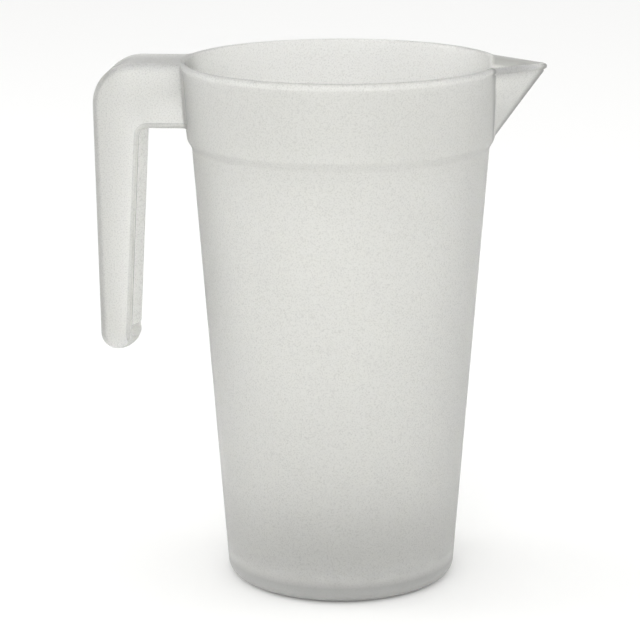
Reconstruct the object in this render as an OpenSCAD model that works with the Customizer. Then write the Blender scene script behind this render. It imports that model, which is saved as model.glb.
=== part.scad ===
// Stackable beer pitcher, moulded in one piece in frosted polypropylene, about 1.5 litres to the shoulder.
// Millimetres, +Z up. The origin is the middle of the foot on the vessel's axis.
// The spout points to +X and the handle, open at its lower end, hangs on the -X side.

/* [Vessel] */
// Height from the table to the rim
height = 215; // [180:1:260]
// Outside diameter at the rim's lip
rim_d = 130; // [115:1:150]
// Outside diameter of the wall's straight line where it would reach the table
foot_d = 94; // [80:1:108]
// Thickness of the wall, measured level
wall_t = 2; // [1.4:0.1:3]

/* [Collar and rim] */
// Height of the collar band, from the shoulder to the rim
collar_h = 30.5; // [26:0.5:40]
// Height of the curved stacking shoulder under the collar
shoulder_h = 4.7; // [3:0.1:8]
// How far the shoulder leads out from the wall to the collar
shoulder_out = 1.7; // [1:0.1:3]
// Height of the lip along the rim
lip_h = 2.6; // [2:0.1:5]
// How far the lip stands out from the collar
lip_out = 0.4; // [0.2:0.1:1]

/* [Base] */
// Radius of the rounded heel, outside
heel_r = 5; // [3.5:0.5:5.5]
// Radius inside, between the floor and the wall
corner_r = 3; // [1:0.5:8]
// Thickness of the skirt between the floor and the table
foot_t = 2.4; // [1.6:0.1:3]
// Width of the flat ring that stands on the table
stand_w = 1.2; // [0.8:0.1:3]
// Height of the floor's underside above the table
floor_rise = 7; // [7:0.5:12]
// Thickness of the floor
floor_t = 2.5; // [1.5:0.1:4]
// Radius in the corner under the floor
recess_r = 1.5; // [0.5:0.5:1.5]
// Diameter of the moulding gate's mark under the floor
gate_d = 6; // [3:0.5:12]
// Height of the moulding gate's mark
gate_h = 0.5; // [0.2:0.1:0.7]

/* [Spout] */
// Distance from the axis to the spout's tip
spout_reach = 82.8; // [74:0.2:95]
// Drop of the tip below the rim
spout_drop = 0.5; // [0:0.5:4]
// Height of the blunt nose at the tip
nose_h = 1.6; // [0.5:0.1:5]
// Width of the spout where it leaves the rim
spout_top_w = 42; // [32:1:56]
// Width of the spout at the foot of the collar
spout_foot_w = 20; // [14:1:32]
// Radius of the spout's keel, outside
keel_r = 1.2; // [0.6:0.1:2.5]
// Radius in the bottom of the spout's channel
channel_r = 2; // [0.8:0.1:4]
// Width of the collar strip that each side of the spout is blended into
spout_seam_w = 1.5; // [0.8:0.1:4]

/* [Handle] */
// Distance from the axis to the back of the handle
handle_reach = 99.2; // [92:0.2:115]
// Width of the arm across
arm_w = 30; // [22:0.5:36]
// Width of the grip across, at its tip
tip_w = 30; // [20:0.5:34]
// Height of the arm, from the rim to its underside
arm_h = 26; // [20:0.5:28]
// Outside radius of the bend from the arm to the grip
bend_r = 17; // [8:0.5:22]
// Depth of the grip just under the arm, from back to open edge
grip_depth = 18.8; // [17:0.2:26]
// Length of the grip below the arm
grip_len = 92; // [60:0.2:130]
// Radius of the grip's round tip, seen from the side
tip_r = 6.4; // [5:0.1:8]
// How far the end wall at the tip swells out in its middle
tip_crown = 2.4; // [0:0.2:4]
// How far the back of the grip leans in at the tip
grip_lean = 1.2; // [0:0.1:3]
// Radius in the crook under the arm
crook_r = 4; // [2:0.5:8]
// Thickness of the handle's channel walls
handle_t = 2.2; // [1.6:0.1:3]
// Radius along the arm's outer edges
arm_edge_r = 1.8; // [1:0.1:2.6]
// Radius along the grip's outer edges
grip_edge_r = 3.4; // [1.5:0.1:4]
// Radius in the corners inside the channel
channel_corner_r = 1.2; // [0.5:0.1:2]
// Width of the rounded bead along the handle's open edges
bead_w = 2.1; // [1.6:0.1:4]
// How far the bead stands out from the handle's sides
bead_out = 0.5; // [0.2:0.1:0.8]

/* [Hidden] */
$fn = 128;

frosted = [0.86, 0.86, 0.84];
frosted_dark = [0.78, 0.78, 0.76];
// How far a cutting solid runs past what it cuts
past = 1;

// Levels of the vessel's parts
collar_z = height - collar_h;
shoulder_z = collar_z - shoulder_h;
lip_z = height - lip_h;
floor_z = floor_rise + floor_t;
foot_z = floor_z + corner_r + wall_t;

// The wall and the collar share one draft, so that pitchers nest
draft = (rim_d / 2 - lip_out - shoulder_out - foot_d / 2) / height;
draft_a = atan(draft);
lip_t = wall_t + lip_out;
heel_x = wall_r(heel_r) - heel_r / cos(draft_a);
corner_x = wall_r(floor_z + corner_r) - wall_t - corner_r / cos(draft_a);
recess_x = wall_r(floor_rise - recess_r) - (foot_t + recess_r) / cos(draft_a);
// The floor is a disc that stops a wall's thickness short of the rounds over and under it
floor_r = min(corner_x, recess_x) - wall_t;
// Radius on the inner edges of the standing ring, and the end of that ring
stand_r = foot_t / 4;
stand_x = heel_x - stand_w - stand_r;

// Steps of the curves
arc_steps = 10;
shoulder_steps = 10;
spout_rows = 16;
// Over 1 brings the spout's rows closer together at its foot
row_power = 1.6;
seam_steps = 3;
tip_steps = 14;
edge_steps = 4;
bead_steps = 6;
band_steps = 8;

// Handle: centres of its bend, tip and crook in the side view, and the normals of its straight sides
arm_z = height - arm_h;
bend_c = [bend_r - handle_reach, height - bend_r];
tip_c = [grip_lean + tip_r - handle_reach, arm_z - grip_len + tip_r];
crook = [grip_depth - handle_reach, arm_z];
back_a = heading(tip_c - bend_c) - acos((bend_r - tip_r) / norm(tip_c - bend_c));
open_a = heading(crook - tip_c) - acos(tip_r / norm(crook - tip_c));
crook_c = crook + crook_r * [(1 + sin(open_a)) / cos(open_a), -1];
// Level where the grip starts to narrow towards its tip, and level where the arm becomes the grip
taper_z = crook_c.y - crook_r * sin(open_a);
split_z = arm_z - 2 * crook_r;
// Radius left on the edges where the tip's round closes, and the least depth of the channel there
tip_edge_r = handle_t / 4;
tip_room = handle_t / 10;
// Half the angle between the tip's two ends where it closes, and the middle of that angle
tip_half_a = asin((handle_t + tip_room) / (2 * tip_r));
tip_mid_a = -25;
// Share of the channel's depth that the bead, and an inside corner, may take
bead_share = 0.6;
corner_share = 0.3;
// Keeps the flat facets of the arm's root clear of the round collar
root_gap = 0.02;

function heading(v) = atan2(v.y, v.x);
function unit(a) = [cos(a), sin(a)];
function arc(c, r, from, to, n) = [for (i = [0:n]) c + r * unit(from + (to - from) * i / n)];
function ease(u) = u * u * (3 - 2 * u);

// Outside radius of the plain wall, and of the wall with its shoulder and collar
function wall_r(z) = foot_d / 2 + draft * z;
function outside_r(z) = wall_r(z) + shoulder_out * ease(min(1, max(0, (z - shoulder_z) / shoulder_h)));

// Half section of the lip, from its outside over the round top to the inside
function lip_section() = concat(
    [[rim_d / 2, lip_z]],
    arc([rim_d / 2 - lip_t / 2, height - lip_t / 2], lip_t / 2, 0, 180, arc_steps),
    [[outside_r(lip_z) - wall_t, lip_z]]
);

module ring(from_z, to_z, steps = 1) {
    levels = [for (i = [0:steps]) from_z + (to_z - from_z) * i / steps];
    outside = [for (z = levels) [outside_r(z), z]];
    inside = [for (i = [steps:-1:0]) [outside_r(levels[i]) - wall_t, levels[i]]];
    rotate_extrude() polygon(concat(outside, inside));
}

// Where the arm passes through the lip, which doesn't stand out there
module arm_notch() {
    low = lip_z - 2 * past;
    high = height + 2 * past;
    difference() {
        translate([-rim_d, -arm_w / 2, lip_z - past]) cube([rim_d, arm_w, lip_h + 2 * past]);
        translate([0, 0, low]) cylinder(h = high - low, r1 = outside_r(low), r2 = outside_r(high));
    }
}

// Gap in the collar and lip that the spout fills
module spout_gap() {
    run = past / collar_h;
    top = spout_half(1 + run);
    rotate([90, 0, 90])
        linear_extrude(spout_reach)
            polygon([
                [-spout_half(0), collar_z], [spout_half(0), collar_z],
                [top, height + past], [-top, height + past]
            ]);
}

// Spout: half its width at a share u of the collar's height, and its keel there
function spout_half(u) = (spout_foot_w + (spout_top_w - spout_foot_w) * u) / 2;
function keel_x(u) =
    outside_r(collar_z) + (spout_reach - outside_r(collar_z)) * min(1, u / (1 - nose_h / collar_h));

// Half angle of the beak's two sides, which run from its keel to its seams on the collar
function beak_a(u) =
    let (
        half = spout_half(u) - spout_seam_w,
        r = outside_r(collar_z + collar_h * u)
    )
    atan2(half, keel_x(u) - sqrt(r * r - half * half));

// Reach of the beak at y, with a rounded keel; inset moves it inwards by the wall
function beak_x(u, y, keel, inset) =
    let (
        a = beak_a(u),
        sharp = keel_x(u) + keel_r * (1 / sin(a) - 1) - inset / sin(a)
    )
    abs(y) > keel * cos(a)
        ? sharp - abs(y) / tan(a)
        : sharp - keel / sin(a) + sqrt(keel * keel - y * y);

// Where a beak side leaves the round of radius r, at least a little away from the keel
function seam_y(u, r, inset) =
    let (
        a = beak_a(u),
        cot = 1 / tan(a),
        sharp = keel_x(u) + keel_r * (1 / sin(a) - 1) - inset / sin(a),
        half = sharp * cot / (1 + cot * cot),
        rest = half * half - (sharp * sharp - r * r) / (1 + cot * cot),
        meet = rest > 0 ? half - sqrt(rest) : half
    )
    min(max(meet, keel_r), spout_half(u) - spout_seam_w);

// One row of points across the spout, inside or outside, at a share u of the collar's height
function spout_row(u, keel, inset) =
    let (
        z = collar_z + collar_h * u,
        r = outside_r(z) - inset,
        half = spout_half(u),
        seam = seam_y(u, r, inset),
        round = min(keel * cos(beak_a(u)), seam / 2),
        side = concat(
            [for (i = [0:seam_steps]) half + (seam - half) * i / seam_steps],
            [round, round / 2]
        ),
        ys = concat(-side, [0], [for (i = [len(side) - 1:-1:0]) side[i]])
    )
    [for (y = ys)
        let (
            skin = sqrt(r * r - y * y),
            x = max(skin, beak_x(u, y, keel, inset)),
            root = sqrt(r * r - seam * seam),
            out = max(0, (x - root) / (keel_x(1) - root))
        )
        [x, y, z - spout_drop * u * out]
    ];

// Closed skin through loops of equal length; each is an outside row and then the inside row, backwards
module loft(loops) {
    n = len(loops[0]);
    rows = len(loops);
    last = (rows - 1) * n;
    start = [for (j = [0:n / 2 - 2]) each [[n - 1 - j, j, j + 1], [n - 2 - j, n - 1 - j, j + 1]]];
    end = [for (f = start) [last + f[2], last + f[1], last + f[0]]];
    skin = [for (i = [0:rows - 2], j = [0:n - 1])
        let (next = (j + 1) % n)
        each [
            [(i + 1) * n + j, i * n + next, i * n + j],
            [(i + 1) * n + j, (i + 1) * n + next, i * n + next]
        ]
    ];
    polyhedron([for (loop = loops) each loop], concat(start, skin, end), convexity = 6);
}

// Straight back and straight open edge of the grip at a level, in the side view
function back_x(z) = bend_c.x + (bend_r - (z - bend_c.y) * sin(back_a)) / cos(back_a);
function open_x(z) = tip_c.x + (tip_r - (z - tip_c.y) * sin(open_a)) / cos(open_a);

// Half the handle's width at a level: even along the arm, then narrowing down the grip
function handle_half(z) =
    (arm_w + (tip_w - arm_w) * max(0, (taper_z - z) / (taper_z - arm_z + grip_len))) / 2;

// Places along the handle in the side view: [point outside, point on the open edge, edge radius, swell]
function root_place() = [[-outside_r(height), height], [-outside_r(arm_z), arm_z], arm_edge_r, [0, 0]];
function bend_places() = [for (i = [0:arc_steps])
    let (
        u = i / arc_steps,
        outer = 90 + (back_a + 270) * u,
        inner = 90 + (open_a + 90) * u,
        r = arm_edge_r + (grip_edge_r - arm_edge_r) * ease(u)
    )
    [bend_c + bend_r * unit(outer), crook_c + crook_r * unit(inner), r, [0, 0]]
];
function split_place() = [[back_x(split_z), split_z], [open_x(split_z), split_z], grip_edge_r, [0, 0]];
function tip_places() = [for (i = [0:tip_steps])
    let (
        u = i / tip_steps,
        outer = back_a + (tip_mid_a - tip_half_a - back_a) * u,
        inner = open_a + (tip_mid_a + tip_half_a - open_a) * u,
        r = grip_edge_r + (tip_edge_r - grip_edge_r) * ease(u),
        swell = tip_crown * ease(min(1, 2 * u)) * unit(outer)
    )
    [tip_c + tip_r * unit(outer), tip_c + tip_r * unit(inner), r, swell]
];

// Row across the handle: one side, as [depth, offset from the half width], a band and the other side
function handle_row(from, dir, side, swell) =
    let (
        points = [for (p = side) let (at = from + p[0] * dir) [at.x, -handle_half(at.y) - p[1], at.y]],
        edge = points[len(points) - 1],
        band = [for (j = [1:band_steps - 1])
            let (
                t = j / band_steps,
                out = swell * sin(180 * t)
            )
            [edge.x + out.x, edge.y * (1 - 2 * t), edge.z + out.y]
        ],
        mirrored = [for (j = [len(points) - 1:-1:0]) [points[j].x, -points[j].y, points[j].z]]
    )
    concat(points, band, mirrored);

// U-shaped section of the handle at a place, with a bead along both open edges
function handle_loop(place) =
    let (
        r = place[2],
        depth = norm(place[1] - place[0]),
        dir = (place[1] - place[0]) / depth,
        room = depth - handle_t,
        w = min(bead_w, bead_share * room),
        q = min(channel_corner_r, corner_share * room),
        rolls = [for (k = [0:edge_steps]) 90 * k / edge_steps],
        bead = [for (k = [0:bead_steps])
            let (a = 180 * k / bead_steps)
            [depth - w / 2 + w / 2 * cos(a), bead_out * w / bead_w * sin(a)]
        ],
        edge = [for (a = rolls) [r * (1 - sin(a)), -r * (1 - cos(a))]],
        wall = [for (p = bead) [p[0], -handle_t]],
        corner = [for (a = rolls) [handle_t + q * (1 - sin(a)), -handle_t - q * (1 - cos(a))]],
        outside = handle_row(place[0], dir, concat(bead, edge), place[3]),
        inside = handle_row(place[0], dir, concat(wall, corner), place[3])
    )
    concat(outside, [for (j = [len(inside) - 1:-1:0]) inside[j]]);

// The same section moved onto the collar's outer skin
function root_loop() = [for (p = handle_loop(root_place()))
    [-sqrt(pow(outside_r(p.z), 2) - p.y * p.y) - root_gap, p.y, p.z]
];

module rim_lip() {
    color(frosted)
        difference() {
            rotate_extrude() polygon(lip_section());
            spout_gap();
            arm_notch();
        }
}

module collar_band() {
    color(frosted)
        difference() {
            ring(collar_z, lip_z);
            spout_gap();
        }
}

module stacking_shoulder() {
    color(frosted) ring(shoulder_z, collar_z, shoulder_steps);
}

module body_wall() {
    color(frosted) ring(foot_z, shoulder_z);
}

module foot_ring() {
    heel = [heel_x, heel_r];
    outside = arc(heel, heel_r, -90, -draft_a, arc_steps);
    top = [[wall_r(foot_z), foot_z], [wall_r(foot_z) - wall_t, foot_z]];
    corner = arc([corner_x, floor_z + corner_r], corner_r, -draft_a, -90, arc_steps);
    floor_edge = [[floor_r, floor_z], [floor_r, floor_rise]];
    recess = arc([recess_x, floor_rise - recess_r], recess_r, 90, -draft_a, arc_steps);
    inside = arc(heel, heel_r - foot_t, -draft_a, -90, arc_steps);
    stand = concat(
        arc([stand_x + stand_r, foot_t - stand_r], stand_r, 90, 180, edge_steps),
        arc([stand_x + stand_r, stand_r], stand_r, 180, 270, edge_steps)
    );
    color(frosted_dark)
        rotate_extrude() polygon(concat(outside, top, corner, floor_edge, recess, inside, stand));
}

module base_floor() {
    color(frosted_dark)
        union() {
            translate([0, 0, floor_rise]) cylinder(h = floor_t, r = floor_r);
            translate([0, 0, floor_rise - gate_h]) cylinder(h = floor_t, d = gate_d);
        }
}

module pouring_spout() {
    shares = [for (i = [0:spout_rows]) pow(i / spout_rows, row_power)];
    loops = [for (u = shares)
        let (
            outside = spout_row(u, keel_r, 0),
            inside = spout_row(u, channel_r, wall_t)
        )
        concat(outside, [for (j = [len(inside) - 1:-1:0]) inside[j]])
    ];
    color(frosted) loft(loops);
}

module handle_arm() {
    places = concat(bend_places(), [split_place()]);
    color(frosted) loft(concat([root_loop()], [for (p = places) handle_loop(p)]));
}

module handle_grip() {
    places = concat([split_place()], tip_places());
    color(frosted) loft([for (p = places) handle_loop(p)]);
}

rim_lip();
collar_band();
stacking_shoulder();
body_wall();
foot_ring();
base_floor();
pouring_spout();
handle_arm();
handle_grip();
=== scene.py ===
import math
import bpy
from mathutils import Matrix, Vector


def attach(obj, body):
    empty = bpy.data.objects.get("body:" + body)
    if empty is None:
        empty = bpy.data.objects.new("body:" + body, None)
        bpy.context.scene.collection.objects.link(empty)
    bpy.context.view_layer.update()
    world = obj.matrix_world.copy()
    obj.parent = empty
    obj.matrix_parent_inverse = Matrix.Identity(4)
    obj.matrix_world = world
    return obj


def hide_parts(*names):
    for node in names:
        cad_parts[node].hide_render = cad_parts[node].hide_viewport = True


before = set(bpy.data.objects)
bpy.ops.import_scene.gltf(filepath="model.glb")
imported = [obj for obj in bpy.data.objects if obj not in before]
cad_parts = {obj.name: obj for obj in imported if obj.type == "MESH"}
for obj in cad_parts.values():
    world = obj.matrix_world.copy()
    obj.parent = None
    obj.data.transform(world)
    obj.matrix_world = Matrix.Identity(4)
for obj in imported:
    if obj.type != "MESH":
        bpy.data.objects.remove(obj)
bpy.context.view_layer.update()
mm = 0.001
print("frame loaded:", ", ".join(sorted(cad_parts)))


def hexLinear(code):  # sRGB hex to the linear colour that shaders take
    parts = [int(code[i:i + 2], 16) / 255 for i in (1, 3, 5)]
    return tuple(p / 12.92 if p <= 0.04045 else ((p + 0.055) / 1.055) ** 2.4 for p in parts) + (1,)


def clamp(u):
    return min(1.0, max(0.0, u))


def ease(u):  # 0 to 1 with soft ends
    u = clamp(u)
    return u * u * (3 - 2 * u)


def blend(a, b, u):
    return a + (b - a) * u


def softMax(a, b, k):  # larger of two lengths, with a fillet of about k where they cross
    h = max(k - abs(a - b), 0) / k if k > 0 else 0
    return max(a, b) + h * h * k / 4


def onArc(centre, radius, degrees):
    a = math.radians(degrees)
    return (centre[0] + radius * math.cos(a), centre[1] + radius * math.sin(a))


def steps(n, start=0, end=1):  # n equal spans, so n + 1 values
    return [start + (end - start) * i / n for i in range(n + 1)]


def skinMesh(name, rows, looks, extra):  # quads between closed rows of points in mm, plus the faces in extra
    n = len(rows[0])
    points = [tuple(c * mm for c in p) for row in rows for p in row]
    faces = []
    for i in range(len(rows) - 1):
        for j in range(n):
            k = (j + 1) % n
            faces.append((i * n + j, i * n + k, (i + 1) * n + k, (i + 1) * n + j))
    mesh = bpy.data.meshes.new(name)
    mesh.from_pydata(points, [], faces + extra)
    mesh.validate()
    mesh.update()
    mesh.shade_smooth()
    # the plastic's grey, mostly painted shade and in part thicker plastic, and its haze, which its material
    # reads
    for i, layerName in enumerate(("greyPlasticAndShade", "hazyPlastic")):
        layer = mesh.attributes.new(layerName, "FLOAT", "POINT")
        layer.data.foreach_set("value", [look[i] for row in looks for look in row])
    piece = bpy.data.objects.new(name, mesh)
    bpy.context.scene.collection.objects.link(piece)
    return piece


# Vessel: one skin from the middle of the underside up the outside, over the lip and down to the floor
vessel = {
    # sizes in mm
    "height": 215, "rimAcross": 130, "footAcross": 94, "wall": 2, "collarHeight": 30.5,
    "shoulderHeight": 4.7, "shoulderOut": 1.7, "lipHeight": 2.6, "lipOut": 0.4,
    "heelRadius": 5, "footThick": 2.4, "standWidth": 1.2, "floorRise": 7, "floorThick": 2.5,
    "recessRadius": 1.5, "cornerRadius": 3,
    "gateAcross": 6, "gateHeight": 0.5, "gateEdge": 0.4, "gateFillet": 0.3, "gateClear": 2,
    # how the lip swells out: heights and insets, and the height where it is full
    "lipStep": [(-0.3, -0.02), (0, -0.08), (0.25, -0.25), (0.5, -0.36)], "lipFull": 0.8,
    # rows stop this short of a curve, so that its shading stays on it
    "rowGap": 0.6, "stepGap": 0.3, "heelGap": 1.5, "cornerGap": 0.8,
    "ringColumns": 216, "lipSpans": 12, "poleRadius": 0.01,
    # greys from 0 to 1, with where they start and fade in mm: painted shade towards the rim and the base, and
    # on the skirt painted shade along with thicker plastic
    "wallGrey": 0.13, "rimShade": 0.37, "rimFade": 75, "lipGrey": 0.12, "lipStart": 1, "lipFade": 1.5,
    "floorShade": 0.25, "floorFade": 45, "floorFlat": 12, "floorEase": 0.7,
    "skirtGreyAndShade": 0.89, "skirtStart": 0.8, "skirtFade": 1.6, "skirtBand": 2, "hazeStart": 3.5, "hazeFade": 2.7,
}
spout = {
    # sizes in mm
    "reach": 82.8, "drop": 0.5, "noseHeight": 1.6, "topWidth": 42, "footWidth": 20,
    "keelRadius": 1.2, "channelRadius": 2, "seamWidth": 1.5, "seamFillet": 0.8,
    # shares of the half width, close together at the keel and at the seam
    "columns": [0, .01, .02, .035, .05, .07, .1, .15, .22, .3, .4, .5,
                .6, .68, .75, .8, .84, .87, .9, .92, .94, .96, .98, 1],
    "insetShare": 0.1,  # share of the half width in which the collar's inset turns into the spout's
    # greys and hazes from 0 to 1, bands and fades in mm; the greys are painted shade along the keel, in the
    # seam's crease, over the face and in the channel
    "keelShade": 1, "keelHaze": 0.4, "keelBand": 4, "keelStart": 0.6,
    "seamShade": 0.95, "seamBand": 4, "seamFade": 0.5, "faceShade": 0.2, "tipHaze": 0.3, "hazeFrom": 70,
    "channelShade": 1, "channelFade": 3.5, "channelEdge": 1.5,
}
collarZ = vessel["height"] - vessel["collarHeight"]
shoulderZ = collarZ - vessel["shoulderHeight"]
lipZ = vessel["height"] - vessel["lipHeight"]
# radius that the plain cone would have at the rim
topRadius = vessel["rimAcross"] / 2 - vessel["lipOut"] - vessel["shoulderOut"]
draft = (topRadius - vessel["footAcross"] / 2) / vessel["height"]
draftAngle = math.degrees(math.atan(draft))


def wallRadius(z):
    return vessel["footAcross"] / 2 + draft * z


def outsideRadius(z):
    return wallRadius(z) + vessel["shoulderOut"] * ease((z - shoulderZ) / vessel["shoulderHeight"])


# In the spout, u runs from 0 at the collar's foot to 1 at the rim
def spoutHalf(u):
    return blend(spout["footWidth"], spout["topWidth"], u) / 2


def keelX(u):
    root = outsideRadius(collarZ)
    return root + (spout["reach"] - root) * min(1, u / (1 - spout["noseHeight"] / vessel["collarHeight"]))


def beakAngle(u):  # half angle between the beak's two sides
    half = spoutHalf(u) - spout["seamWidth"]
    r = outsideRadius(collarZ + vessel["collarHeight"] * u)
    return math.atan2(half, keelX(u) - math.sqrt(r * r - half * half))


def beakX(u, y, keel, inset):  # two flat sides that meet in a round keel
    a = beakAngle(u)
    sharp = keelX(u) + spout["keelRadius"] * (1 / math.sin(a) - 1) - inset / math.sin(a)
    if abs(y) > keel * math.cos(a):
        return sharp - abs(y) / math.tan(a)
    return sharp - keel / math.sin(a) + math.sqrt(keel * keel - y * y)


shares = [-f for f in reversed(spout["columns"][1:])] + spout["columns"]
around = steps(vessel["ringColumns"])[1:-1]


def plainRow(r, z):  # level circle, with its columns in line with the spout's
    side = [math.asin(f * spoutHalf(0) / outsideRadius(collarZ)) for f in shares]
    angles = side + [blend(side[-1], 2 * math.pi - side[-1], t) for t in around]
    return [(r * math.cos(a), r * math.sin(a), z) for a in angles]


def collarRow(z, inset, spoutInset):  # level of the collar, drawn out into the spout
    u = clamp((z - collarZ) / vessel["collarHeight"])
    half = spoutHalf(u)
    seam = half - spout["seamWidth"]
    fillet = spout["seamFillet"] * min(1, 3 * u)  # grows over the lowest third
    row = []
    for f in shares:
        y = f * half
        d = blend(inset, spoutInset, ease((1 - abs(f)) / spout["insetShare"]))
        r = outsideRadius(z) - d
        keel = blend(spout["keelRadius"], spout["channelRadius"], clamp(d / vessel["wall"]))
        skin = math.sqrt(r * r - y * y)
        x = softMax(skin, beakX(u, y, keel, d), fillet)
        root = math.sqrt(r * r - seam * seam)
        row.append((x, y, z - spout["drop"] * u * clamp((x - root) / (keelX(1) - root))))
    r = outsideRadius(z) - inset
    edge = math.asin(half / r)
    angles = [blend(edge, 2 * math.pi - edge, t) for t in around]
    return row + [(r * math.cos(a), r * math.sin(a), z) for a in angles]


wall, lipOut, heelR = vessel["wall"], vessel["lipOut"], vessel["heelRadius"]
rise, footThick, recessR = vessel["floorRise"], vessel["footThick"], vessel["recessRadius"]
cornerR, gap, poleR = vessel["cornerRadius"], vessel["rowGap"], vessel["poleRadius"]
floorZ = rise + vessel["floorThick"]
draftCos = math.cos(math.radians(draftAngle))
heelX = wallRadius(heelR) - heelR / draftCos
cornerX = wallRadius(floorZ + cornerR) - wall - cornerR / draftCos
recessX = wallRadius(rise - recessR) - (footThick + recessR) / draftCos
gateR = vessel["gateAcross"] / 2
standR = footThick / 4
standX = heelX - vessel["standWidth"]

# profile as (radius, height) points; the first number in steps is how many spans a line or an arc gets
gateZ = rise - vessel["gateHeight"]
gateFillet = vessel["gateFillet"]
under = [(poleR, gateZ), (gateR - vessel["gateEdge"], gateZ)]
under += [(gateR, rise - gateFillet), (gateR + gateFillet, rise)]
under += [(r, rise) for r in steps(6, gateR + vessel["gateClear"], recessX - gap)]
under += [onArc((recessX, rise - recessR), recessR, a) for a in steps(8, 90, -draftAngle)]
under += [onArc((heelX, heelR), heelR - footThick, a) for a in steps(8, -draftAngle, -90)]
under += [onArc((standX, footThick - standR), standR, a) for a in steps(5, 90, 180)]
under += [onArc((standX, standR), standR, a) for a in steps(5, 180, 270)]
under += [onArc((heelX, heelR), heelR, a) for a in steps(12, -90, -draftAngle)]
outside = [(wallRadius(z), z) for z in steps(24, heelR + vessel["heelGap"], shoulderZ - gap)]
outside += [(outsideRadius(z), z) for z in steps(16, shoulderZ, collarZ - vessel["stepGap"])]
levels = [collarZ + (lipZ - gap - collarZ) * t ** 1.5 for t in steps(30)]  # closer where the spout starts
lipMid, lipHalf = (wall - lipOut) / 2, (wall + lipOut) / 2
lip = [(lipZ + up, inset) for up, inset in vessel["lipStep"]] + [(lipZ + vessel["lipFull"], -lipOut)]
for a in steps(vessel["lipSpans"], 0, math.pi):  # round top, as (height, inset)
    lip.append((vessel["height"] - lipHalf * (1 - math.sin(a)), lipMid - lipHalf * math.cos(a)))
inside = [(outsideRadius(z) - wall, z) for z in steps(16, collarZ - vessel["stepGap"], shoulderZ)]
cornerZ = floorZ + cornerR
inside += [(wallRadius(z) - wall, z) for z in steps(24, shoulderZ - gap, cornerZ + vessel["cornerGap"])]
inside += [onArc((cornerX, cornerZ), cornerR, a) for a in steps(8, -draftAngle, -90)]
inside += [(r, floorZ) for r in steps(8, cornerX - gap, poleR)]

vesselRows = [plainRow(r, z) for r, z in under + outside]
vesselRows += [collarRow(z, 0, 0) for z in levels]
# on the spout the lip is flush with the outside
vesselRows += [collarRow(z, d, wall - (wall - d) * wall / (wall + lipOut)) for z, d in lip]
vesselRows += [collarRow(z, wall, wall) for z in reversed(levels)]
vesselRows += [plainRow(r, z) for r, z in inside]
columns = len(vesselRows[0])
last = (len(vesselRows) - 1) * columns
ends = [tuple(reversed(range(columns))), tuple(range(last, last + columns))]


# Grey and haze, from 0 to 1: the grey is painted shade towards the rim and the base, in the spout's channel,
# along its keel and seam and over its face; on the skirt it is partly thicker plastic, partly painted shade
def vesselLook(x, y, z, inner):
    # painted shade: darker towards the bottom of the wall and over the floor, less so right at the floor
    grey = vessel["floorShade"] * (1 - ease((z - floorZ - vessel["floorFlat"]) / vessel["floorFade"]))
    grey *= 1 - vessel["floorEase"] * (1 - ease((z - floorZ) / vessel["floorFlat"]))
    haze = 0
    if not inner:
        # the skirt's grey is partly thicker plastic, partly painted shade of the dark band at the foot
        if math.hypot(x, y) > recessX - vessel["skirtBand"]:
            skirt = 1 - ease((z - floorZ + vessel["skirtStart"]) / vessel["skirtFade"])
            grey = max(grey, vessel["skirtGreyAndShade"] * skirt)
            haze = 1 - ease((z - floorZ + vessel["hazeStart"]) / vessel["hazeFade"])
        # painted shade: the outside darkens over its top rimFade mm towards the rim, then eases to the lip's
        # grey
        high = ease((z - vessel["height"] + vessel["rimFade"]) / vessel["rimFade"])
        grey = max(grey, blend(vessel["wallGrey"], vessel["rimShade"], high))
    grey = blend(grey, vessel["lipGrey"], ease((z - lipZ + vessel["lipStart"]) / vessel["lipFade"]))
    if z < collarZ or abs(y) > spoutHalf(1) + spout["seamBand"] or x < 0:
        return grey, haze
    u, r = clamp((z - collarZ) / vessel["collarHeight"]), outsideRadius(z)
    tip = spout["tipHaze"] * ease((x - spout["hazeFrom"]) / (spout["reach"] - spout["hazeFrom"]))
    # painted shade inside the spout's channel, where little light falls from above
    if inner:
        beak = ease((x - math.sqrt((r - wall) ** 2 - y * y)) / spout["channelEdge"])
        deep = beak * ease((z - lipZ) / spout["channelFade"] + 1)
        return blend(grey, spout["channelShade"], deep), max(deep, tip)
    beak = x - math.sqrt(r * r - y * y)  # how far the beak stands out here
    # painted shade in the crease where the spout meets the collar, along the keel and over the spout's face
    past = abs(y) - spoutHalf(u) + spout["seamWidth"]  # how far the collar's strip runs past the seam
    seam = ease(1 - past / spout["seamBand"]) if past > 0 else ease(1 + past / spout["seamFade"])
    keel = ease(1 - (keelX(u) - x) / spout["keelBand"]) * ease(beak / spout["keelStart"])
    grey = blend(grey, spout["faceShade"], ease(beak))
    grey = max(grey, spout["seamShade"] * seam, spout["keelShade"] * keel)
    return grey, max(spout["keelHaze"] * keel, tip)


innerFrom = len(under + outside + levels + lip) - vessel["lipSpans"] // 2 - 1  # the crest of the lip
vesselLooks = [[vesselLook(*p, i >= innerFrom) for p in row] for i, row in enumerate(vesselRows)]
vesselShell = skinMesh("vesselShell", vesselRows, vesselLooks, ends)
print("vessel:", len(vesselShell.data.polygons), "faces")


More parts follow.
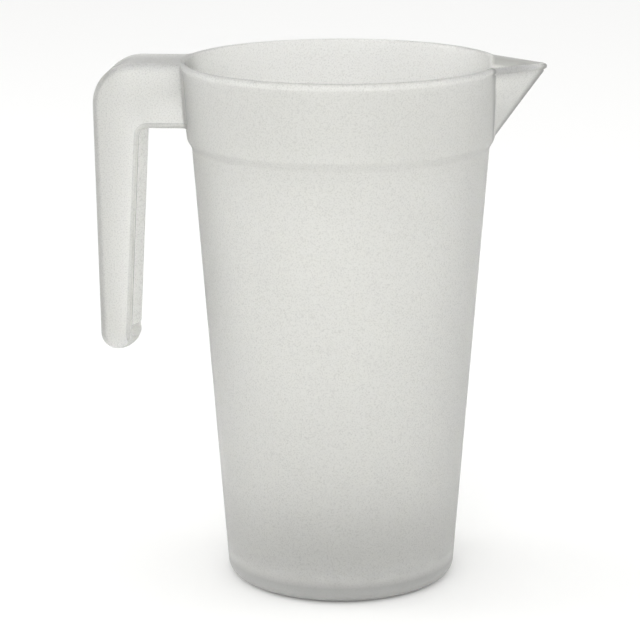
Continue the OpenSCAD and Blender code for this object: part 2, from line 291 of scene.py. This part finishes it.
# Handle: a channel open towards the vessel, lofted through U-shaped sections from the collar to the round tip
handle = {
    # sizes in mm, tipMiddle in degrees
    "reach": 99.19,  # just inside the CAD's facets
    "armWidth": 30, "tipWidth": 30, "armHeight": 26, "bendRadius": 17, "crookRadius": 4,
    "gripDepth": 18.8, "gripLength": 92, "gripLean": 1.2, "tipRadius": 6.4, "tipCrown": 2.4, "tipMiddle": -25,
    "wall": 2.2, "armEdge": 1.8, "gripEdge": 3.4, "channelCorner": 1.2, "beadWidth": 2.1, "beadOut": 0.5,
    "rootFillet": 1.2, "rootDepth": 0.8,
    # where the channel gets shallow: shares for bead and corner, and the last section's depth in walls
    "beadShare": 0.6, "cornerShare": 0.3, "tipDepth": 1.1,
    "tipFill": 0.95, "fillFrom": 0.25, "fillOver": 0.5,  # the channel's end fills up within the tip
    # greys and hazes from 0 to 1; the greys are painted shade on the arm's top and side and along the grip's
    # back, and partly painted shade on the bead
    "backShade": 0.5, "topShade": 0.15, "sideShare": 0.3, "armSideShade": 0.12, "beadGreyAndShade": 0.4, "armBeadGreyAndShade": 0.6,
    "tipHaze": 0.35, "tipPale": 0.8,
    # spans of the sections and of the way along them, and how many points at the open edge stay pale
    "beadSteps": 12, "edgeSteps": 8, "bandSteps": 14, "palePoints": 3,
    "rootSteps": 6, "bendSteps": 28, "gripSteps": 8, "tipSteps": 34,
}
armZ = vessel["height"] - handle["armHeight"]
tipZ = armZ - handle["gripLength"]
bendR, crookR, tipR = handle["bendRadius"], handle["crookRadius"], handle["tipRadius"]
bendC = (bendR - handle["reach"], vessel["height"] - bendR)
tipC = (handle["gripLean"] + tipR - handle["reach"], tipZ + tipR)
crook = (handle["gripDepth"] - handle["reach"], armZ)


def heading(a, b):
    return math.degrees(math.atan2(b[1] - a[1], b[0] - a[0]))


# directions in which the grip's straight back and its open edge touch their arcs
backA = heading(bendC, tipC) - math.degrees(math.acos((bendR - tipR) / math.dist(bendC, tipC)))
openA = heading(tipC, crook) - math.degrees(math.acos(tipR / math.dist(tipC, crook)))
openSin, openCos = math.sin(math.radians(openA)), math.cos(math.radians(openA))
crookC = (crook[0] + crookR * (1 + openSin) / openCos, crook[1] - crookR)
taperZ = crookC[1] - crookR * openSin
tipHalfA = math.degrees(math.asin(handle["wall"] * handle["tipDepth"] / (2 * tipR)))


def handleHalf(z):
    return blend(handle["armWidth"], handle["tipWidth"], max(0, (taperZ - z) / (taperZ - tipZ))) / 2


# Section as one loop, from the outside to the open edge: s is the depth in it, and off is to the side
def handleLoop(outer, inner, edge, flare=0.0, swell=(0, 0), fill=0.0):
    depth = math.dist(outer, inner)
    way = ((inner[0] - outer[0]) / depth, (inner[1] - outer[1]) / depth)
    thick = handle["wall"]
    room = depth - thick
    w = min(handle["beadWidth"], handle["beadShare"] * room)
    q = min(handle["channelCorner"], handle["cornerShare"] * room)
    out = handle["beadOut"] * w / handle["beadWidth"]
    outsideSide, insideSide = [], []
    for a in steps(handle["beadSteps"], 0, math.pi):
        s = depth - w / 2 + (w / 2 + (flare if a < math.pi / 2 else 0)) * math.cos(a)
        outsideSide.append((s, flare + out * math.sin(a)))
        insideSide.append((s, -thick - flare))
    for a in steps(handle["edgeSteps"], 0, math.pi / 2):
        outsideSide.append((edge * (1 - math.sin(a)), flare - edge * (1 - math.cos(a))))
        insideSide.append((thick + flare + q * (1 - math.sin(a)), -thick - flare - q * (1 - math.cos(a))))
    insideSide = [(depth - (depth - s) * (1 - fill), off) for s, off in insideSide]
    rows = []
    for side in (outsideSide, insideSide):
        half = []
        for s, off in side:
            x, z = outer[0] + way[0] * s, outer[1] + way[1] * s
            half.append((x, -handleHalf(z) - off, z))
        x, y, z = half[-1]
        band = []
        for t in steps(handle["bandSteps"])[1:-1]:
            bulge = math.sin(math.pi * t)
            band.append((x + swell[0] * bulge, y * (1 - 2 * t), z + swell[1] * bulge))
        rows.append(half + band + [(p[0], -p[1], p[2]) for p in reversed(half)])
    return rows[0] + rows[1][::-1]


def handleLook(u, tip=0.0):  # grey and haze of a section, from the arm (0) to the grip (1) and to its tip
    # painted shade: the arm's up-facing top, the grip's back edge and the arm's side towards the bead, paler
    # at the tip
    webShade = blend(handle["topShade"], handle["backShade"], u) * (1 - handle["tipPale"] * tip)
    pale, edgeSpans = handle["palePoints"], handle["edgeSteps"]
    # the bead's grey is partly thicker plastic, partly painted shade, stronger on the arm to cancel the light
    # from the floor
    bead = [0] * pale + [blend(handle["armBeadGreyAndShade"], handle["beadGreyAndShade"], u)] * (handle["beadSteps"] - pale)
    flank = [handle["armSideShade"] * (1 - u)]
    # painted shade: along the grip the web is seen on edge through the near side and darkened, in full after
    # a third of the rounding
    edge = [webShade * u * blend(handle["sideShare"], 1, ease(3 * t)) for t in steps(edgeSpans)]
    web = [blend(edge[-1], webShade, ease(2 * min(t, 1 - t))) for t in steps(handle["bandSteps"])[1:-1]]
    haze = handle["tipHaze"] * tip
    half = [(g, haze) for g in bead + flank + edge]
    hidden = [(0, tip)] * len(half)
    hiddenWeb = [(g * (1 - tip), tip) for g in web]
    return half + [(g, haze) for g in web] + half[::-1] + hidden + hiddenWeb + hidden


def rootLoop(away, flare):  # the arm's section, bent to the round collar and moved away from it
    top = (-outsideRadius(vessel["height"]), vessel["height"])
    foot = (-outsideRadius(armZ), armZ)
    loop = handleLoop(top, foot, handle["armEdge"], flare)
    return [(-math.sqrt(outsideRadius(p[2]) ** 2 - p[1] ** 2) - away, p[1], p[2]) for p in loop]


# root: sunk into the collar's wall, then out over a fillet
fillet = handle["rootFillet"]
handleRows = [rootLoop(-handle["rootDepth"], fillet)]
for a in steps(handle["rootSteps"], 0, math.pi / 2):
    handleRows.append(rootLoop(fillet * (1 - math.cos(a)), fillet * (1 - math.sin(a))))
handleLooks = [handleLook(0)] * len(handleRows)
# arm and bend
for u in steps(handle["bendSteps"]):
    handleRows.append(handleLoop(
        onArc(bendC, bendR, blend(90, backA + 360, u)),
        onArc(crookC, crookR, blend(90, openA + 180, u)),
        blend(handle["armEdge"], handle["gripEdge"], ease(u)),
    ))
    handleLooks.append(handleLook(ease(2 * u)))
# straight grip
startO, startI = onArc(bendC, bendR, backA), onArc(crookC, crookR, openA + 180)
endO, endI = onArc(tipC, tipR, backA), onArc(tipC, tipR, openA)
for u in steps(handle["gripSteps"])[1:-1]:
    handleRows.append(handleLoop(
        (blend(startO[0], endO[0], u), blend(startO[1], endO[1], u)),
        (blend(startI[0], endI[0], u), blend(startI[1], endI[1], u)),
        handle["gripEdge"],
    ))
    handleLooks.append(handleLook(1))
# tip: both sides run round the same arc towards its middle, over a crown
for u in steps(handle["tipSteps"]):
    outerA = blend(backA, handle["tipMiddle"] - tipHalfA, u)
    handleRows.append(handleLoop(
        onArc(tipC, tipR, outerA),
        onArc(tipC, tipR, blend(openA, handle["tipMiddle"] + tipHalfA, u)),
        blend(handle["gripEdge"], handle["wall"] / 4, ease(u)),
        swell=onArc((0, 0), handle["tipCrown"] * ease(2 * u), outerA),
        fill=handle["tipFill"] * ease((u - handle["fillFrom"]) / handle["fillOver"]),
    ))
    handleLooks.append(handleLook(1, ease(2 * u)))
n = len(handleRows[0])
last = (len(handleRows) - 1) * n
caps = [(n - 1 - j, n - 2 - j, j + 1, j) for j in range(n // 2 - 1)]
caps += [tuple(last + i for i in reversed(f)) for f in caps]
handleChannel = skinMesh("handleChannel", handleRows, handleLooks, caps)
print("handle:", len(handleChannel.data.polygons), "faces")

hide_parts("rim_lip", "collar_band", "stacking_shoulder", "body_wall", "foot_ring",
            "base_floor", "pouring_spout")
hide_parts("handle_arm", "handle_grip")
for piece in (vesselShell, handleChannel):
    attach(piece, "root")


# Adds a node: settings are sockets or attributes, and links are (socket, source)
def addNode(tree, kind, links=(), **settings):
    node = tree.nodes.new(kind)
    for key, value in settings.items():
        if key in node.inputs:
            node.inputs[key].default_value = value
        else:
            setattr(node, key, value)
    for socket, source in links:
        tree.links.new(source, node.inputs[socket])
    return node


def newMaterial(name):
    material = bpy.data.materials.new(name)
    material.use_nodes = True
    material.node_tree.nodes.clear()
    return material, material.node_tree


# Natural polypropylene, injection moulded against a spark-eroded tool: milky and translucent, so that thin
# walls glow, with a matt skin that has no clear reflection; the grey mixed into it is mostly painted shade
# and in part thicker plastic
frosted = {
    "pale": "#FFFFFB", "grey": "#F9F9F5", "deep": "#8F8F8E", "pit": "#8A8B86", "roughness": 0.5, "ior": 1.49,
    "clear": 0.72, "clearDeep": 0.1,  # transmission of clear and of hazy plastic
    "scatter": 8.0, "flow": 55,  # mm that light spreads, and mm across a cloud from the flow of the melt
    # grit of a spark-eroded tool is about 0.05 mm; drawn at 0.6 mm so that it shows in the render
    "grit": 0.6, "gritDepth": 0.02, "gritBump": 0.25, "speckle": 0.35, "pitFrom": 0.45, "pitTo": 0.75,
}
material, tree = newMaterial("mouldedFrostedPolypropylene")
coords = addNode(tree, "ShaderNodeTexCoord")
flow = addNode(tree, "ShaderNodeTexNoise", [("Vector", coords.outputs["Object"])],
               Scale=1 / (frosted["flow"] * mm), Detail=2.0, Roughness=0.45)
# in a mix node, inputs 6 and 7 and output 2 are the colours
tone = addNode(tree, "ShaderNodeMix", [("Factor", flow.outputs["Fac"])], data_type="RGBA")
tone.inputs[6].default_value = hexLinear(frosted["grey"])
tone.inputs[7].default_value = hexLinear(frosted["pale"])
# painted shade, in part thicker plastic: this attribute darkens the colour towards the deep grey
thick = addNode(tree, "ShaderNodeAttribute", attribute_name="greyPlasticAndShade")
colour = addNode(tree, "ShaderNodeMix", [("Factor", thick.outputs["Fac"]), (6, tone.outputs[2])],
                 data_type="RGBA")
colour.inputs[7].default_value = hexLinear(frosted["deep"])
hazy = addNode(tree, "ShaderNodeAttribute", attribute_name="hazyPlastic")
clear = addNode(tree, "ShaderNodeMapRange", [("Value", hazy.outputs["Fac"])],
                **{"To Min": frosted["clear"], "To Max": frosted["clearDeep"]})
grit = addNode(tree, "ShaderNodeTexNoise", [("Vector", coords.outputs["Object"])],
               Scale=1 / (frosted["grit"] * mm), Detail=1.0, Roughness=0.6)
pits = addNode(tree, "ShaderNodeMapRange", [("Value", grit.outputs["Fac"])],
               **{"From Min": frosted["pitFrom"], "From Max": frosted["pitTo"], "To Max": frosted["speckle"]})
speckled = addNode(tree, "ShaderNodeMix", [("Factor", pits.outputs["Result"]), (6, colour.outputs[2])],
                   data_type="RGBA")
speckled.inputs[7].default_value = hexLinear(frosted["pit"])
bump = addNode(tree, "ShaderNodeBump", [("Height", grit.outputs["Fac"])],
               Strength=frosted["gritBump"], Distance=frosted["gritDepth"] * mm)
shader = addNode(tree, "ShaderNodeBsdfPrincipled", [
    ("Base Color", speckled.outputs[2]),
    ("Normal", bump.outputs["Normal"]),
    ("Transmission Weight", clear.outputs["Result"]),
], Roughness=frosted["roughness"], IOR=frosted["ior"])
shader.inputs["Subsurface Weight"].default_value = 1.0
shader.inputs["Subsurface Radius"].default_value = (1.0, 1.0, 0.95)
shader.inputs["Subsurface Scale"].default_value = frosted["scatter"] * mm
addNode(tree, "ShaderNodeOutputMaterial", [("Surface", shader.outputs["BSDF"])])
for piece in (vesselShell, handleChannel):
    piece.data.materials.append(material)
print("plastic done")

# Stage: white paper floor and soft light, in metres and watts
studio = {
    "floorAcross": 12.0, "floorDrop": 0.0003, "floor": "#FAFAF9", "sky": 0.95, "aim": (0, 0, 0.11),
    "key": 20, "keyPlace": (-0.1, -1.9, 0.4), "keySize": 1.6,
    "left": 6.5, "right": 4, "sideOut": 1.5, "sideBack": 0.2, "sideUp": 0.5, "sideSize": 1.0,
}
floorMesh = bpy.data.meshes.new("paperFloor")
h, low = studio["floorAcross"] / 2, -studio["floorDrop"]
floorMesh.from_pydata([(-h, -h, low), (h, -h, low), (h, h, low), (-h, h, low)], [], [(0, 1, 2, 3)])
paperFloor = bpy.data.objects.new("paperFloor", floorMesh)
bpy.context.scene.collection.objects.link(paperFloor)
# Uncoated white paper: bright and matt, with no reflection
paper, tree = newMaterial("mattWhitePaper")
shader = addNode(tree, "ShaderNodeBsdfPrincipled", Roughness=0.9)
shader.inputs["Base Color"].default_value = hexLinear(studio["floor"])
addNode(tree, "ShaderNodeOutputMaterial", [("Surface", shader.outputs["BSDF"])])
floorMesh.materials.append(paper)

world = bpy.data.worlds.new("softStudio")
bpy.context.scene.world = world
world.use_nodes = True
tree = world.node_tree
tree.nodes["Background"].inputs["Strength"].default_value = studio["sky"]
tree.nodes["Background"].inputs["Color"].default_value = (1, 1, 1, 1)


def softbox(name, place, size, watts):
    light = bpy.data.lights.new(name, "AREA")
    light.shape, light.size, light.energy = "DISK", size, watts
    lamp = bpy.data.objects.new(name, light)
    lamp.location = place
    lamp.rotation_euler = (Vector(studio["aim"]) - Vector(place)).to_track_quat("-Z", "Y").to_euler()
    bpy.context.scene.collection.objects.link(lamp)


softbox("frontSoftbox", studio["keyPlace"], studio["keySize"], studio["key"])
for side, out in (("left", -studio["sideOut"]), ("right", studio["sideOut"])):
    softbox(side + "Softbox", (out, studio["sideBack"], studio["sideUp"]), studio["sideSize"], studio[side])

# Camera: fitted to the photograph's outline, for a square frame of 640 px
view = {
    "place": (0, -996.94, 357.68), "pitch": 0.2463, "yaw": -0.0086, "roll": -0.0026,  # mm and radians
    "turn": 3.9,  # degrees round the vessel's axis
    "focal": 2488, "frame": 640, "sensor": 36, "clipEnd": 50,  # px, px, mm and m
}
turn = Matrix.Rotation(math.radians(view["turn"]), 3, "Z")
ahead = math.cos(view["pitch"])
forward = Vector((ahead * math.sin(view["yaw"]), ahead * math.cos(view["yaw"]), -math.sin(view["pitch"])))
forward = turn @ forward
level = forward.cross(Vector((0, 0, 1))).normalized()
upright = level.cross(forward)
rollCos, rollSin = math.cos(view["roll"]), math.sin(view["roll"])
right, up = level * rollCos + upright * rollSin, upright * rollCos - level * rollSin
cameraData = bpy.data.cameras.new("photoCamera")
cameraData.sensor_width = view["sensor"]
cameraData.lens = view["sensor"] * view["focal"] / view["frame"]
cameraData.clip_end = view["clipEnd"]
camera = bpy.data.objects.new("photoCamera", cameraData)
cameraPose = Matrix((right, up, -forward)).transposed().to_4x4()
cameraPose.translation = turn @ Vector(view["place"]) * mm
camera.matrix_world = cameraPose
bpy.context.scene.collection.objects.link(camera)
bpy.context.scene.camera = camera
bpy.context.scene.view_settings.view_transform = "Standard"
print("stage and camera done")
